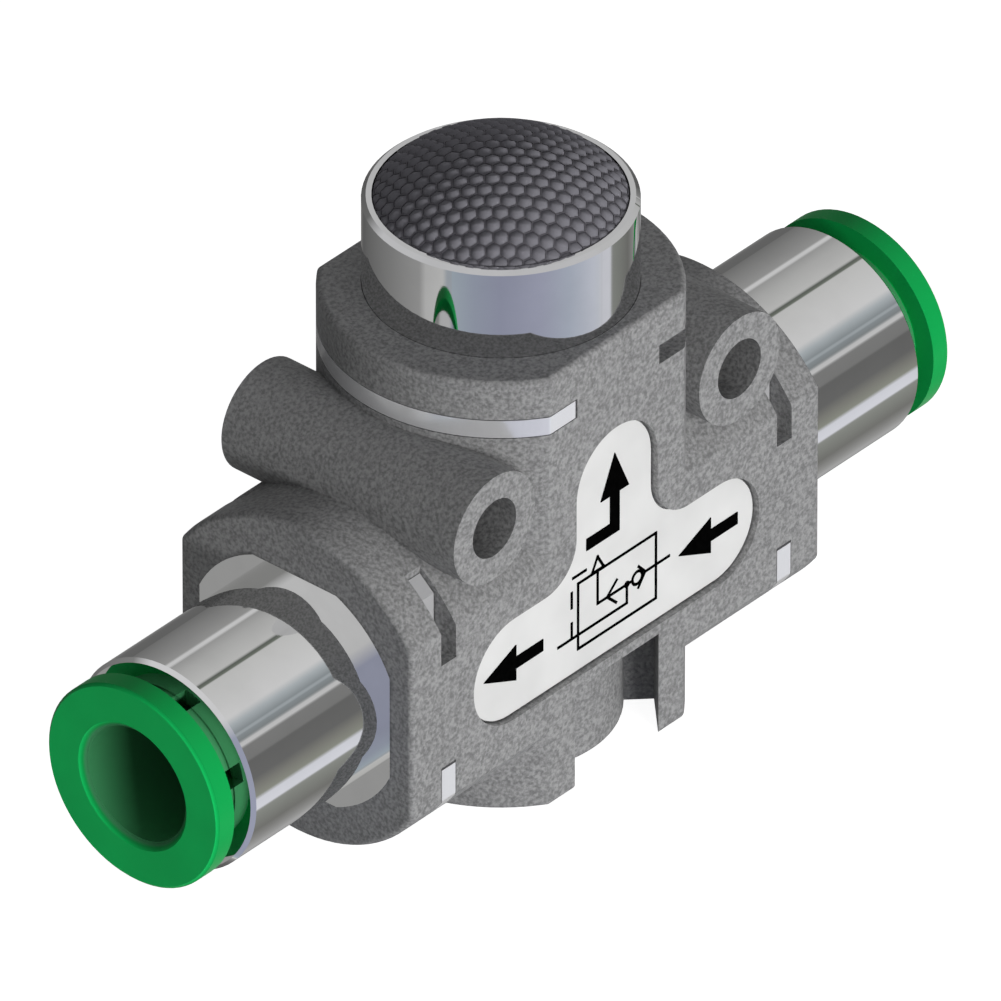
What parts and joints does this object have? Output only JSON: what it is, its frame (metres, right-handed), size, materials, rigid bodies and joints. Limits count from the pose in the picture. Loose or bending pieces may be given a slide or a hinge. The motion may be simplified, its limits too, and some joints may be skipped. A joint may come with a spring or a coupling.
{
  "type": "quick exhaust valve",
  "caption": "Inline quick exhaust valve: dark plastic body, push-in tube sockets with green release rings, domed mesh silencer on top",
  "frame": {"origin": "on the exhaust axis at the underside of the foot", "axes": "+X from the outlet socket to the inlet socket along the tube axis, -Y the labelled front, +Z out of the exhaust"},
  "size_m": [0.0542, 0.015, 0.0328],
  "materials": {
    "body_plastic": "dark grey glass-filled plastic, fine grain",
    "label": "off-white, satin",
    "arrow_print": "black print",
    "nickel_brass": "turned brass with bright nickel plating",
    "pad": "grey sintered sound-absorbing pad",
    "grille": "dark grey wire, satin",
    "brass": "turned brass",
    "seal_rubber": "black nitrile rubber",
    "poppet_rubber": "black rubber",
    "clip_steel": "bright flat spring steel",
    "spring_steel": "stamped stainless steel",
    "inner_plastic": "natural acetal",
    "green_plastic": "green moulded plastic"
  },
  "bodies": {
    "valve": {"body": "body_plastic", "cartridge_left": "nickel_brass", "cartridge_oring_left": "seal_rubber", "cartridge_oring_right": "seal_rubber", "cartridge_right": "nickel_brass", "flow_arrows": "arrow_print", "grip_ring_left": "spring_steel", "grip_ring_right": "spring_steel", "guide_bush_left": "inner_plastic", "guide_bush_right": "inner_plastic", "inlet_seat": "brass", "label_plate": "label", "retaining_clip_left": "clip_steel", "retaining_clip_right": "clip_steel", "retaining_clip_top": "clip_steel", "seal_washer_left": "inner_plastic", "seal_washer_right": "inner_plastic", "seat_oring": "seal_rubber", "silencer_grille": "grille", "silencer_housing": "nickel_brass", "silencer_oring": "seal_rubber", "silencer_pad": "pad", "tube_seal_left": "seal_rubber", "tube_seal_right": "seal_rubber"},
    "outlet_ring": {"release_ring_left": "green_plastic"},
    "inlet_ring": {"release_ring_right": "green_plastic"},
    "poppet": {"valve_poppet": "poppet_rubber"}
  },
  "joints": [
    {"name": "outlet_ring_push", "type": "slide", "parent": "valve", "child": "outlet_ring", "axis": [1, 0, 0], "range_m": [0, 0.001], "stiffness_N_per_m": 800},
    {"name": "inlet_ring_push", "type": "slide", "parent": "valve", "child": "inlet_ring", "axis": [-1, 0, 0], "range_m": [0, 0.001], "stiffness_N_per_m": 800},
    {"name": "poppet_lift", "type": "slide", "parent": "valve", "child": "poppet", "axis": [0, 0, 1], "range_m": [0, 0.0015]}
  ]
}
